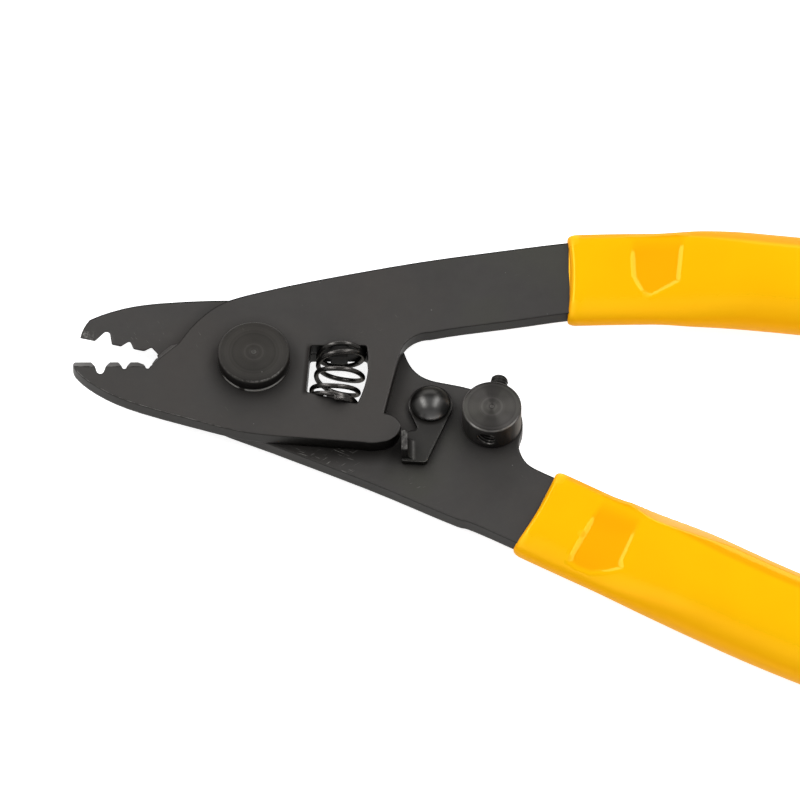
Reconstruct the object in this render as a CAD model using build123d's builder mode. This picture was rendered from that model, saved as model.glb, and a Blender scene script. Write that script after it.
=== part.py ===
"""Three-notch wire and fibre stripper: two crossed levers on one pivot.

Millimetres. The origin is on the pivot axis at the back of the nut.
+X runs from the pivot towards the handles, +Y towards the upper handle
and +Z from the rear lever towards the front lever.
"""
from math import cos, radians, sin, sqrt
import os

from build123d import *

os.makedirs("parts", exist_ok=True)

# ------------------------------------------------------------ stack heights
LEVER_T = 2.4
NUT_H = 2.2
BACK_WASHER_T = 0.6
SHIM_T = 0.1
WAVE_GAP = 0.6
HEAD_H = 2.0

Z_NUT_TOP = NUT_H
Z_REAR = Z_NUT_TOP + BACK_WASHER_T
Z_REAR_TOP = Z_REAR + LEVER_T
Z_FRONT = Z_REAR_TOP + SHIM_T
Z_FRONT_TOP = Z_FRONT + LEVER_T
Z_HEAD = Z_FRONT_TOP + WAVE_GAP
Z_HEAD_TOP = Z_HEAD + HEAD_H

# ------------------------------------------------------------------- pivot
SHOULDER_R = 3.2
PIVOT_RUN = 0.05
HEAD_R = 5.45
THREAD_R = 2.4
NUT_AF = 9.5
BACK_WASHER_R = 5.6
SHIM_R = 4.8
WAVE_T = 0.25

# ---------------------------------------------------------------- cutting
BEVEL = 1.7
BEVEL_UP = 2.2
LOWER_EDGE_Y = 0.75
THROAT_END = (-11.55, 2.95)
UPPER_SLOPE = -0.24
UPPER_EDGE = (-26.35, 5.6)
NOTCH_ROOT_R = (0.55, 0.34, 0.32)
NOTCH_FLARE = 36

# --------------------------------------------------------- handle routes
FRONT_START = (47.5, 14.65)
FRONT_HEADING = 2.2
FRONT_BENDS = ((375.0, -2.9), (115.0, -5.0), (330.0, -10.8))
REAR_START = (42.5, -24.8)
REAR_HEADING = -28.1
REAR_STRAIGHT = 34.0
REAR_BEND = (211.0, 15.6)
CORE_W = (12.4, 12.8)
CORE_SHORT = 5.0

# ------------------------------------------------------------------- grips
GRIP_W_START = (15.1, 15.3)
GRIP_W_FULL = (15.7, 15.3)
GRIP_T_START = 4.4
GRIP_T_FULL = 8.0
GRIP_TIP = 4.5
GRIP_ROUND = 0.46
Z_FRONT_MID = (Z_FRONT + Z_FRONT_TOP) / 2
Z_REAR_MID = (Z_REAR + Z_REAR_TOP) / 2

# ------------------------------------------------------------------ window
WINDOW_R = 17.35
WINDOW_TOP = 2.75
WINDOW_LEFT = 8.55
WINDOW_LEFT_LOW = (7.9, -5.45)
WINDOW_LOW_X = 15.65
WINDOW_LOW_Y = -7.6
TAB_W = 2.6
TAB_L = 1.9

# ------------------------------------------------------------------ spring
WIRE_R = 0.375
COIL_R = 3.3
COIL_TOP = (12.95, 1.95)
COIL_LOW = (12.3, -5.6)
COIL_TURNS = 4.75
Z_COIL = (Z_REAR_TOP + Z_FRONT) / 2

# ------------------------------------------------------------- safety lock
LOCK_PIN = (26.8, -6.85)
LOCK_T = 0.9
LOCK_GAP = 0.1
LOCK_EYE_R = 3.35
LOCK_HOLE_R = 1.55
LOCK_PIN_R = 1.5
LOCK_FLANGE_H = 3.0
LOCK_FLANGE_X = 22.4
LOCK_FLANGE_Y = (-16.45, -13.2)
LOCK_BEND_R = 1.3
LOCK_WASHER_R = 2.6
LOCK_WASHER_T = 0.3
DOME_R = 3.03
DOME_H = 1.95
Z_LOCK = Z_REAR_TOP + LOCK_GAP
Z_LOCK_TOP = Z_LOCK + LOCK_T

# -------------------------------------------------------------- stop screw
BOSS = (36.08, -9.48)
BOSS_R = 4.5
BOSS_H = 4.85
BOSS_SHANK_R = 2.6
STOP_TILT = 11.3
STOP_R = 1.35
STOP_RUN = 0.04
STOP_REACH = 6.65
STOP_BACK = 3.6
STOP_Z = Z_REAR_TOP + BOSS_H / 2
STOP_HEX_AF = 1.3
STOP_HEX_DEEP = 1.6
PEEN_H = 0.8


# ============================================================ handle routes
front_bends = []
bend_start = Vector(*FRONT_START)
bend_way = Vector(cos(radians(FRONT_HEADING)), sin(radians(FRONT_HEADING)))
for bend_radius, bend_turn in FRONT_BENDS:
    bend = JernArc(start=bend_start, tangent=bend_way, radius=bend_radius, arc_size=bend_turn)
    bend_start = bend @ 1
    bend_way = bend % 1
    front_bends.append(bend)
front_route = Wire(front_bends)
rear_dir = Vector(cos(radians(REAR_HEADING)), sin(radians(REAR_HEADING)))
rear_run = Line(REAR_START, Vector(*REAR_START) + rear_dir * REAR_STRAIGHT)
rear_bend = JernArc(
    start=rear_run @ 1,
    tangent=rear_run % 1,
    radius=REAR_BEND[0],
    arc_size=REAR_BEND[1],
)
rear_route = Wire([rear_run, rear_bend])


def side(route, t, reach):
    """Point beside a route, reach to its left."""
    p = route @ t
    d = route % t
    return (p.X - d.Y * reach, p.Y + d.X * reach)


def across(route, t, z):
    """Plane square to a route, local X along the thickness."""
    p = route @ t
    return Plane(origin=(p.X, p.Y, z), x_dir=(0, 0, 1), z_dir=route % t)


def core_edges(route, reach):
    """Side of the handle core as one arc from the grip's start to its end."""
    stop = 1 - CORE_SHORT / route.length
    return (
        side(route, 0.0, reach),
        side(route, 0.3, reach),
        side(route, 0.65, reach),
        side(route, stop, reach),
    )


# ============================================================== front lever
NOTCH_LOW = (
    (-23.27, -1.75, -24.75, -21.75),
    (-19.63, -1.10, -20.65, -18.62),
    (-16.10, -1.05, -17.10, -14.65),
)
f_up = core_edges(front_route, CORE_W[0] / 2)
f_low = core_edges(front_route, -CORE_W[0] / 2)
f_cap = side(front_route, 1 - CORE_SHORT / front_route.length * 0.45, 0)
with BuildPart() as front_blank:
    with BuildSketch(Plane.XY.offset(Z_FRONT)) as front_outline:
        with BuildLine():
            Line((-27.15, LOWER_EDGE_Y), (-14.6, LOWER_EDGE_Y))
            ThreePointArc((-14.6, LOWER_EDGE_Y), (-13.7, 2.25), (-12.5, 3.2))
            Line((-12.5, 3.2), THROAT_END)
            Line(THROAT_END, (-9.65, 5.78))
            Spline((-9.65, 5.78), (-8.1, 7.55), (-5.1, 10.0), (-2.0, 11.3), (1.0, 12.15))
            Spline((1.0, 12.15), (13.1, 15.04), (26.8, 17.76), (40.4, 19.87), f_up[0],
                   tangents=((0.96, 0.27), (0.993, 0.12)))
            Spline(*f_up)
            ThreePointArc(f_up[3], f_cap, f_low[3])
            Spline(*reversed(f_low))
            Spline(f_low[0], (40.4, 7.28), (32.9, 6.17), (26.8, 5.07),
                   tangents=((-0.993, -0.12), (-0.975, -0.22)))
            ThreePointArc((26.8, 5.07), (23.6, 3.85), (22.2, 1.6))
            Line((22.2, 1.6), (21.1, -3.0))
            Line((21.1, -3.0), (19.7, -9.3))
            ThreePointArc((19.7, -9.3), (21.45, -9.95), (22.3, -11.3))
            ThreePointArc((22.3, -11.3), (21.7, -13.0), (19.4, -14.3))
            ThreePointArc((19.4, -14.3), (18.0, -14.5), (16.6, -14.35))
            Line((16.6, -14.35), (4.0, -13.3))
            Spline((4.0, -13.3), (-0.3, -12.8), (-8.1, -10.77), (-15.6, -8.41), (-21.7, -5.88),
                   (-25.3, -3.45), (-27.0, -1.65), tangents=((-0.995, 0.1), (-0.6, 0.8)))
            ThreePointArc((-27.0, -1.65), (-27.4, -0.7), (-27.15, LOWER_EDGE_Y))
        make_face()
    extrude(amount=LEVER_T)

with BuildPart() as low_notches:
    for (nx, ny, left, right), r in zip(NOTCH_LOW, NOTCH_ROOT_R):
        with BuildSketch(Plane.XY.offset(Z_FRONT - 1)):
            with Locations((nx, ny)):
                Circle(r)
            with Locations((left, LOWER_EDGE_Y + 0.35), (right, LOWER_EDGE_Y + 0.35)):
                Circle(0.01)
            make_hull()
        extrude(amount=LEVER_T + 2)

LOW_BEVEL_Y = LOWER_EDGE_Y - BEVEL
THROAT_START = (-15.9, LOW_BEVEL_Y - 0.1)
with BuildPart() as low_bevel:
    with BuildSketch(Plane.YZ.offset(-29)):
        with BuildLine():
            Polyline(
                (LOW_BEVEL_Y, Z_FRONT_TOP),
                (LOWER_EDGE_Y + 0.6, Z_FRONT_TOP - BEVEL - 0.6),
                (LOWER_EDGE_Y + 0.6, Z_FRONT_TOP + 0.5),
                (LOW_BEVEL_Y, Z_FRONT_TOP + 0.5),
                close=True,
            )
        make_face()
    extrude(amount=13.6)
    corner_dir = Vector(THROAT_END[0] - THROAT_START[0], THROAT_END[1] - THROAT_START[1])
    corner_len = corner_dir.length
    corner_dir = corner_dir.normalized()
    corner_plane = Plane(
        origin=(*THROAT_START, Z_FRONT_TOP),
        x_dir=(-corner_dir.Y, corner_dir.X, 0),
        z_dir=corner_dir,
    )
    with BuildSketch(corner_plane):
        with BuildLine():
            Polyline((0, 0), (BEVEL + 1.4, -BEVEL - 1.4), (BEVEL + 1.4, 0.5), (0, 0.5), close=True)
        make_face()
    extrude(amount=corner_len)

WINDOW_X_TOP = sqrt(WINDOW_R ** 2 - WINDOW_TOP ** 2)
with BuildSketch() as window:
    with BuildLine():
        Line((WINDOW_X_TOP, WINDOW_TOP), (WINDOW_LEFT, WINDOW_TOP))
        Line((WINDOW_LEFT, WINDOW_TOP), WINDOW_LEFT_LOW)
        Line(WINDOW_LEFT_LOW, (WINDOW_LOW_X, WINDOW_LOW_Y))
        RadiusArc((WINDOW_LOW_X, WINDOW_LOW_Y), (WINDOW_X_TOP, WINDOW_TOP), -WINDOW_R)
    make_face()
    fillet(window.vertices(), 0.45)

with BuildPart() as front_lever:
    add(front_blank.part)
    add(low_notches.part, mode=Mode.SUBTRACT)
    add(low_bevel.part, mode=Mode.SUBTRACT)
    with BuildSketch(Plane.XY.offset(Z_FRONT)) as front_cuts:
        add(window.sketch)
        with Locations((COIL_TOP[0], WINDOW_TOP - TAB_L / 2 + 0.5)):
            Rectangle(TAB_W, TAB_L + 1, mode=Mode.SUBTRACT)
        Circle(SHOULDER_R + PIVOT_RUN)
    extrude(amount=LEVER_T, mode=Mode.SUBTRACT)

# =============================================================== rear lever
NOTCH_UP = (
    (-22.37, 6.02, -24.15, -21.6),
    (-18.97, 4.45, -20.2, -18.3),
    (-15.6, 3.4, -16.7, -14.6),
)
r_up = core_edges(rear_route, CORE_W[1] / 2)
r_low = core_edges(rear_route, -CORE_W[1] / 2)
r_cap = side(rear_route, 1 - CORE_SHORT / rear_route.length * 0.45, 0)
teeth_dir = Vector(1, UPPER_SLOPE).normalized()


def teeth_y(x):
    """Height of the upper jaw's cutting edge."""
    return UPPER_EDGE[1] + UPPER_SLOPE * (x - UPPER_EDGE[0])


with BuildPart() as rear_blank:
    with BuildSketch(Plane.XY.offset(Z_REAR)):
        with BuildLine():
            Line(UPPER_EDGE, (-14.8, teeth_y(-14.8)))
            Line((-14.8, teeth_y(-14.8)), (-14.2, 1.1))
            Line((-14.2, 1.1), (-10.5, -4.0))
            Spline((-10.5, -4.0), (-7.6, -7.9), (-4.9, -10.1), (-2.1, -11.4), (1.0, -12.68), (10.0, -16.6),
                   (22.2, -22.2), (31.3, -26.6), r_low[0],
                   tangents=((0.6, -0.8), (rear_dir.X, rear_dir.Y)))
            Spline(*r_low)
            ThreePointArc(r_low[3], r_cap, r_up[3])
            Spline(*reversed(r_up))
            Spline(r_up[0], (43.5, -18.1), (41.5, -16.75), (40.3, -14.4), (40.55, -11.3),
                   tangents=((-rear_dir.X, -rear_dir.Y), (0.37, 0.93)))
            ThreePointArc((40.55, -11.3), (39.35, -6.05), (35.0, -4.3))
            Spline((35.0, -4.3), (32.5, -3.35), (28.4, -2.4), (25.6, -1.4), (23.9, 0.3), (22.7, 3.2),
                   tangents=((-0.93, 0.35), (-0.3, 0.95)))
            ThreePointArc((22.7, 3.2), (20.6, 6.3), (17.0, 8.2))
            Spline((17.0, 8.2), (7.0, 11.4), (-3.7, 12.2), (-12.9, 11.8), (-19.0, 10.95),
                   (-22.2, 9.97), (-24.95, 8.72), tangents=((-0.92, 0.39), (-0.88, -0.47)))
            ThreePointArc((-24.95, 8.72), (-25.85, 7.25), UPPER_EDGE)
        make_face()
    extrude(amount=LEVER_T)

with BuildPart() as up_notches:
    for (nx, ny, left, right), r in zip(NOTCH_UP, NOTCH_ROOT_R):
        with BuildSketch(Plane.XY.offset(Z_REAR_TOP)):
            with Locations((nx, ny)):
                Circle(r)
            with Locations((left, teeth_y(left) - 0.2), (right, teeth_y(right) - 0.2)):
                Circle(0.05)
            make_hull()
        extrude(amount=-LEVER_T - 0.3, taper=-NOTCH_FLARE)

with BuildPart() as up_bevel:
    with BuildSketch(Plane(
        origin=(-28, teeth_y(-28) + BEVEL_UP / teeth_dir.X, Z_REAR),
        x_dir=(teeth_dir.Y, -teeth_dir.X, 0),
        z_dir=(teeth_dir.X, teeth_dir.Y, 0),
    )):
        with BuildLine():
            Polyline((0, 0), (0, 0.5), (BEVEL_UP + 0.6, 0.5), (BEVEL_UP + 0.6, -BEVEL_UP - 0.6),
                     close=True)
        make_face()
    extrude(amount=13.5)

with BuildPart() as rear_lever:
    add(rear_blank.part)
    add(up_notches.part, mode=Mode.SUBTRACT)
    add(up_bevel.part, mode=Mode.SUBTRACT)
    with BuildSketch(Plane.XY.offset(Z_REAR)):
        add(window.sketch)
        with Locations((COIL_LOW[0], -6.75 + TAB_L / 2)):
            Rectangle(TAB_W, TAB_L + 1, mode=Mode.SUBTRACT)
        Circle(SHOULDER_R)
        with Locations(LOCK_PIN):
            Circle(LOCK_PIN_R)
        with Locations(BOSS):
            Circle(BOSS_SHANK_R)
    extrude(amount=LEVER_T, mode=Mode.SUBTRACT)

# ================================================= pivot screw and its stack
with BuildPart() as pivot_screw:
    with BuildSketch(Plane.XY.offset(Z_HEAD)):
        Circle(HEAD_R)
    extrude(amount=HEAD_H)
    fillet(pivot_screw.edges().group_by(Axis.Z)[-1], 0.45)
    with BuildSketch(Plane.XY.offset(Z_REAR)):
        Circle(SHOULDER_R)
    extrude(until=Until.NEXT)
    with BuildSketch():
        Circle(THREAD_R)
    extrude(until=Until.NEXT)
    chamfer(pivot_screw.edges().group_by(Axis.Z)[0], 0.3)
    with BuildSketch(Plane.XY.offset(Z_HEAD_TOP)):
        Circle(0.3)
    extrude(amount=-0.35, mode=Mode.SUBTRACT, taper=25)

BOW = WAVE_GAP - WAVE_T - 0.04
BOW_R = (HEAD_R ** 2 + BOW ** 2) / (2 * BOW)
with BuildPart() as pivot_wave_washer:
    with BuildSketch(Plane.XY.offset(Z_FRONT_TOP)):
        Circle(HEAD_R + 0.05)
        Circle(SHOULDER_R + 0.15, mode=Mode.SUBTRACT)
    extrude(amount=WAVE_GAP)
    with BuildSketch(Plane.YZ.offset(-10)) as bowed:
        with Locations((0, Z_FRONT_TOP + 0.02 + WAVE_T + BOW - BOW_R)):
            Circle(BOW_R)
            Circle(BOW_R - WAVE_T, mode=Mode.SUBTRACT)
    extrude(amount=20, mode=Mode.INTERSECT)

with BuildPart() as pivot_shim:
    with BuildSketch(Plane.XY.offset(Z_REAR_TOP)):
        Circle(SHIM_R)
        Circle(SHOULDER_R, mode=Mode.SUBTRACT)
    extrude(amount=SHIM_T)

with BuildPart() as pivot_back_washer:
    with BuildSketch(Plane.XY.offset(Z_NUT_TOP)):
        Circle(BACK_WASHER_R)
        Circle(THREAD_R, mode=Mode.SUBTRACT)
    extrude(amount=BACK_WASHER_T)

with BuildPart() as pivot_nut:
    with BuildSketch():
        RegularPolygon(NUT_AF / 2, 6, major_radius=False)
    extrude(amount=NUT_H)
    with BuildSketch():
        Circle(NUT_AF / 2 + 0.35)
    extrude(amount=NUT_H, taper=-30, mode=Mode.INTERSECT)
    with BuildSketch():
        Circle(THREAD_R)
    extrude(amount=NUT_H, mode=Mode.SUBTRACT)

# =================================================== safety lock and its pin
with BuildPart() as lock_latch:
    with BuildSketch(Plane.XY.offset(Z_LOCK)):
        with BuildLine():
            ThreePointArc((30.05, -7.7), (LOCK_PIN[0], LOCK_PIN[1] + LOCK_EYE_R), (23.65, -8.0))
            Line((23.65, -8.0), (24.75, -10.75))
            ThreePointArc((24.75, -10.75), (24.6, -11.25), (24.0, -11.4))
            ThreePointArc((24.0, -11.4), (23.0, -11.9), (LOCK_FLANGE_X, -13.0))
            Line((LOCK_FLANGE_X, -13.0), (LOCK_FLANGE_X, LOCK_FLANGE_Y[0]))
            ThreePointArc((LOCK_FLANGE_X, LOCK_FLANGE_Y[0]), (22.55, -16.72), (22.9, -16.8))
            Line((22.9, -16.8), (25.7, -17.0))
            ThreePointArc((25.7, -17.0), (26.15, -16.85), (26.4, -16.4))
            Line((26.4, -16.4), (30.05, -7.7))
        make_face()
    extrude(amount=LOCK_T)
    with BuildSketch(Plane.XY.offset(Z_LOCK)):
        with Locations((LOCK_FLANGE_X + LOCK_T / 2, sum(LOCK_FLANGE_Y) / 2)):
            Rectangle(LOCK_T, LOCK_FLANGE_Y[1] - LOCK_FLANGE_Y[0])
    extrude(amount=LOCK_T + LOCK_FLANGE_H)
    flange_root = lock_latch.edges().filter_by(Axis.Y).filter_by_position(
        Axis.X, LOCK_FLANGE_X + LOCK_T - 0.01, LOCK_FLANGE_X + LOCK_T + 0.01
    ).filter_by_position(Axis.Z, Z_LOCK_TOP - 0.01, Z_LOCK_TOP + 0.01)
    fillet(flange_root, LOCK_BEND_R)
    with BuildSketch(Plane.XY.offset(Z_LOCK)):
        with Locations(LOCK_PIN):
            Circle(LOCK_HOLE_R)
    extrude(amount=LOCK_T, mode=Mode.SUBTRACT)

with BuildPart() as latch_spring_washer:
    with BuildSketch(Plane.XY.offset(Z_LOCK_TOP)):
        with Locations(LOCK_PIN):
            Circle(LOCK_WASHER_R)
            Circle(LOCK_PIN_R, mode=Mode.SUBTRACT)
    extrude(amount=LOCK_WASHER_T)

Z_DOME = Z_LOCK_TOP + LOCK_WASHER_T
DOME_BALL = (DOME_R ** 2 + DOME_H ** 2) / (2 * DOME_H)
with BuildPart() as latch_rivet:
    with Locations((*LOCK_PIN, Z_DOME + DOME_H - DOME_BALL)):
        Sphere(DOME_BALL)
    with BuildSketch(Plane.XY.offset(Z_DOME)):
        with Locations(LOCK_PIN):
            Circle(DOME_R + 1)
    extrude(amount=DOME_H + 1, mode=Mode.INTERSECT)
    with BuildSketch(Plane.XY.offset(Z_REAR - PEEN_H)):
        with Locations(LOCK_PIN):
            Circle(LOCK_PIN_R)
    extrude(until=Until.NEXT)
    with BuildSketch(Plane.XY.offset(Z_REAR)):
        with Locations(LOCK_PIN):
            Circle(LOCK_PIN_R + 0.9)
    extrude(amount=-PEEN_H, taper=30)

# ============================================== stop boss and its set screw
stop_dir = Vector(sin(radians(STOP_TILT)), cos(radians(STOP_TILT)))
stop_plane = Plane(
    origin=(BOSS[0], BOSS[1], STOP_Z),
    x_dir=(0, 0, 1),
    z_dir=(stop_dir.X, stop_dir.Y, 0),
)
with BuildPart() as stop_boss:
    with BuildSketch(Plane.XY.offset(Z_REAR_TOP)):
        with Locations(BOSS):
            Circle(BOSS_R)
    extrude(amount=BOSS_H)
    chamfer(stop_boss.edges().group_by(Axis.Z)[-1], 0.25)
    with BuildSketch(Plane.XY.offset(Z_REAR - PEEN_H)):
        with Locations(BOSS):
            Circle(BOSS_SHANK_R)
    extrude(until=Until.NEXT)
    with BuildSketch(Plane.XY.offset(Z_REAR)):
        with Locations(BOSS):
            Circle(BOSS_SHANK_R + 0.7)
    extrude(amount=-PEEN_H, taper=30)
    with BuildSketch(stop_plane.offset(-BOSS_R - 1)):
        Circle(STOP_R + STOP_RUN)
    extrude(amount=2 * BOSS_R + 2, mode=Mode.SUBTRACT)

with BuildPart() as stop_screw:
    with BuildSketch(stop_plane.offset(-STOP_BACK)):
        Circle(STOP_R)
    extrude(amount=STOP_BACK + STOP_REACH)
    chamfer(stop_screw.faces().sort_by(Axis((0, 0, 0), stop_dir))[-1].edges(), 0.35)
    with BuildSketch(stop_plane.offset(-STOP_BACK)):
        RegularPolygon(STOP_HEX_AF / 2, 6, major_radius=False)
    extrude(amount=STOP_HEX_DEEP, mode=Mode.SUBTRACT)

# ============================================================ return spring
coil_top = Vector(*COIL_TOP, Z_COIL)
coil_low = Vector(*COIL_LOW, Z_COIL)
coil_len = (coil_top - coil_low).length
with BuildPart() as return_spring:
    with BuildLine():
        coil = Helix(
            pitch=coil_len / COIL_TURNS,
            height=coil_len,
            radius=COIL_R,
            center=coil_low,
            direction=coil_top - coil_low,
        )
    with BuildSketch(Plane(origin=coil @ 0, z_dir=coil % 0)):
        Circle(WIRE_R)
    sweep(is_frenet=True)

# ==================================================================== grips
def grip_size(s, length, widths, thin_until, full_from):
    """Width and thickness of a grip at a distance from its start."""
    rise = min(max((s - thin_until) / (full_from - thin_until), 0.0), 1.0)
    rise = rise * rise * (3 - 2 * rise)
    left = max(length - s, 0.0)
    close = sqrt(1 - (1 - min(left / GRIP_TIP, 1.0)) ** 2)
    thick = GRIP_T_START + (GRIP_T_FULL - GRIP_T_START) * rise
    width = widths[0] + (widths[1] - widths[0]) * rise
    return (width - GRIP_TIP * 1.1 * (1 - close), thick - (thick - 3.6) * (1 - close))


def grip_sections(route, z, widths, thin_until, full_from):
    """Rounded sections along a grip, closer where the thickness changes."""
    length = route.length
    rising = [thin_until + (full_from - thin_until) * k / 6 for k in range(7)]
    body_end = length - GRIP_TIP
    body = [full_from + (body_end - full_from) * k / 8 for k in range(1, 9)]
    tip = [length - GRIP_TIP * (1 - sin(radians(k * 18))) for k in range(1, 6)]
    found = []
    for s in [0.0, thin_until / 2, *rising, *body, *tip]:
        w, t = grip_size(s, length, widths, thin_until, full_from)
        with BuildSketch(across(route, s / length, z)) as cut:
            RectangleRounded(t, w, t * GRIP_ROUND)
        found.append(cut.sketch)
    return found


GRIP_W_FRONT = (GRIP_W_START[0], GRIP_W_FULL[0])
GRIP_W_REAR = (GRIP_W_START[1], GRIP_W_FULL[1])
with BuildPart() as front_grip:
    loft(sections=grip_sections(front_route, Z_FRONT_MID, GRIP_W_FRONT, 13.5, 21.5), ruled=True)
    add(front_lever.part, mode=Mode.SUBTRACT)

with BuildPart() as rear_grip:
    loft(sections=grip_sections(rear_route, Z_REAR_MID, GRIP_W_REAR, 13.0, 22.0), ruled=True)
    add(rear_lever.part, mode=Mode.SUBTRACT)

# =================================================================== export
pieces = {
    "rear_lever": rear_lever,
    "front_lever": front_lever,
    "rear_grip": rear_grip,
    "front_grip": front_grip,
    "pivot_screw": pivot_screw,
    "pivot_wave_washer": pivot_wave_washer,
    "pivot_shim": pivot_shim,
    "pivot_back_washer": pivot_back_washer,
    "pivot_nut": pivot_nut,
    "return_spring": return_spring,
    "lock_latch": lock_latch,
    "latch_spring_washer": latch_spring_washer,
    "latch_rivet": latch_rivet,
    "stop_boss": stop_boss,
    "stop_screw": stop_screw,
}
for name, piece in pieces.items():
    piece.part.label = name
    export_step(piece.part, "parts/" + name + ".step")
    box = piece.part.bounding_box()
    print(name, round(piece.part.volume, 2), piece.part.is_valid, len(piece.part.solids()),
          [round(v, 2) for v in (*box.min, *box.max)])
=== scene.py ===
"""Looks of the three-notch wire and fibre stripper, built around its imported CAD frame."""
import math

import bpy
import numpy as np
from mathutils import Matrix, Vector


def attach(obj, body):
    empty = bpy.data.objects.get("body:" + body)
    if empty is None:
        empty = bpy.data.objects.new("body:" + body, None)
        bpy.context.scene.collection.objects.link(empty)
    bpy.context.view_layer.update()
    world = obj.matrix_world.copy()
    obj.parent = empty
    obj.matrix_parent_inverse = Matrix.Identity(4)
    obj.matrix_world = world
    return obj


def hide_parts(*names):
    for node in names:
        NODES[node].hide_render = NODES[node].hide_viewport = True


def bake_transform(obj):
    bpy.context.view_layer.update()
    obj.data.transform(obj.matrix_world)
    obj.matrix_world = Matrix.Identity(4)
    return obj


MM = 0.001
MM_PER_M = 1000
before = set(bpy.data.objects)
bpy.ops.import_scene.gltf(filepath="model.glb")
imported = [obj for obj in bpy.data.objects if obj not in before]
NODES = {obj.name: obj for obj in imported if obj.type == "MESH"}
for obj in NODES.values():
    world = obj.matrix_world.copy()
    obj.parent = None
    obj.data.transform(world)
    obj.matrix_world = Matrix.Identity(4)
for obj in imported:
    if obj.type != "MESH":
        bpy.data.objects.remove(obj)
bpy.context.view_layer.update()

# ------------------------------------------------------------------ camera
TILT = math.radians(59)
BACK = Vector((0, -math.cos(TILT), math.sin(TILT)))
UP = Vector((0, math.sin(TILT), math.cos(TILT)))
AIM = Vector((22.17, -6.95, 7.7)) * MM
CAMERA_AWAY = 5.0
LENS = 1485
cam_data = bpy.data.cameras.new("camera")
cam_data.lens = LENS
cam_data.sensor_width = 36
cam_data.clip_start = 0.1
cam_data.clip_end = 40
cam = bpy.data.objects.new("camera", cam_data)
bpy.context.scene.collection.objects.link(cam)
turn = Matrix((Vector((1, 0, 0)), UP, BACK)).transposed().to_4x4()
cam.matrix_world = Matrix.Translation(AIM + BACK * CAMERA_AWAY) @ turn
bpy.context.scene.camera = cam


# ----------------------------------------------------------- shader helpers
SEED_STEP = 0.01
BEVEL_SAMPLES = 6
AO_SAMPLES = 8


def shader(name):
    """A new node material: its tree and its main shader."""
    m = bpy.data.materials.new(name)
    m.use_nodes = True
    tree = m.node_tree
    tree.nodes.clear()
    out = tree.nodes.new("ShaderNodeOutputMaterial")
    bsdf = tree.nodes.new("ShaderNodeBsdfPrincipled")
    tree.links.new(bsdf.outputs[0], out.inputs[0])
    return m, tree, bsdf


def wire(tree, source, target):
    """Link two sockets."""
    tree.links.new(source, target)


def place(tree, scale=(1, 1, 1), turn_deg=0.0, shift=(0, 0, 0)):
    """Object coordinates in millimetres, turned first and then stretched."""
    c = tree.nodes.new("ShaderNodeTexCoord")
    m = tree.nodes.new("ShaderNodeMapping")
    m.inputs["Rotation"].default_value = (0, 0, math.radians(turn_deg))
    if turn_deg:
        # an inverse mapping is the one that turns before it stretches
        m.vector_type = "TEXTURE"
        m.inputs["Scale"].default_value = [MM / v for v in scale]
        m.inputs["Location"].default_value = [v * SEED_STEP for v in shift]
    else:
        m.inputs["Scale"].default_value = [MM_PER_M * v for v in scale]
        m.inputs["Location"].default_value = shift
    wire(tree, c.outputs["Object"], m.inputs["Vector"])
    return m.outputs["Vector"]


def noise(tree, vector, scale, detail, rough=0.55):
    """Cloudy pattern, mostly between 0.3 and 0.7."""
    n = tree.nodes.new("ShaderNodeTexNoise")
    n.inputs["Scale"].default_value = scale
    n.inputs["Detail"].default_value = detail
    n.inputs["Roughness"].default_value = rough
    wire(tree, vector, n.inputs["Vector"])
    return n.outputs["Fac"]


def span(tree, value, low, high, to_low=0.0, to_high=1.0):
    """Map a value's range onto another, clamped."""
    r = tree.nodes.new("ShaderNodeMapRange")
    r.inputs["From Min"].default_value = low
    r.inputs["From Max"].default_value = high
    r.inputs["To Min"].default_value = to_low
    r.inputs["To Max"].default_value = to_high
    wire(tree, value, r.inputs["Value"])
    return r.outputs["Result"]


def maths(tree, kind, a, b=0.0):
    """One sum; each value is a socket or a number."""
    m = tree.nodes.new("ShaderNodeMath")
    m.operation = kind
    for socket, v in zip(m.inputs, (a, b)):
        if isinstance(v, (int, float)):
            socket.default_value = v
        else:
            wire(tree, v, socket)
    return m.outputs[0]


def both(tree, *values):
    """Product of several masks."""
    out = values[0]
    for v in values[1:]:
        out = maths(tree, "MULTIPLY", out, v)
    return out


def blend_slots(tree, kind, mode="MIX"):
    """A mix node's factor, first and second sockets, and its result."""
    m = tree.nodes.new("ShaderNodeMix")
    m.data_type = kind
    if kind == "RGBA":
        m.blend_type = mode
    factor, first, second = [s for s in m.inputs if s.enabled]
    return factor, first, second, [s for s in m.outputs if s.enabled][0]


def mix(tree, amount, a, b):
    """Mix two colours by a socket; each colour is a socket or an RGB triple."""
    factor, first, second, result = blend_slots(tree, "RGBA")
    wire(tree, amount, factor)
    for socket, v in ((first, a), (second, b)):
        if isinstance(v, tuple):
            socket.default_value = (*v, 1)
        else:
            wire(tree, v, socket)
    return result


def parts_of(tree, vector):
    """X, Y and Z of a vector."""
    s = tree.nodes.new("ShaderNodeSeparateXYZ")
    wire(tree, vector, s.inputs[0])
    return s.outputs


def plan(tree):
    """Object X and Y in millimetres."""
    at = parts_of(tree, place(tree))
    return at["X"], at["Y"]


def face_up(tree):
    """How level a face is: 1 for a flat face, 0 for a wall."""
    g = tree.nodes.new("ShaderNodeNewGeometry")
    return maths(tree, "ABSOLUTE", parts_of(tree, g.outputs["True Normal"])["Z"])


def side_of(tree, axis):
    """How far a face looks along one axis."""
    g = tree.nodes.new("ShaderNodeNewGeometry")
    return parts_of(tree, g.outputs["True Normal"])[axis]


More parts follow.
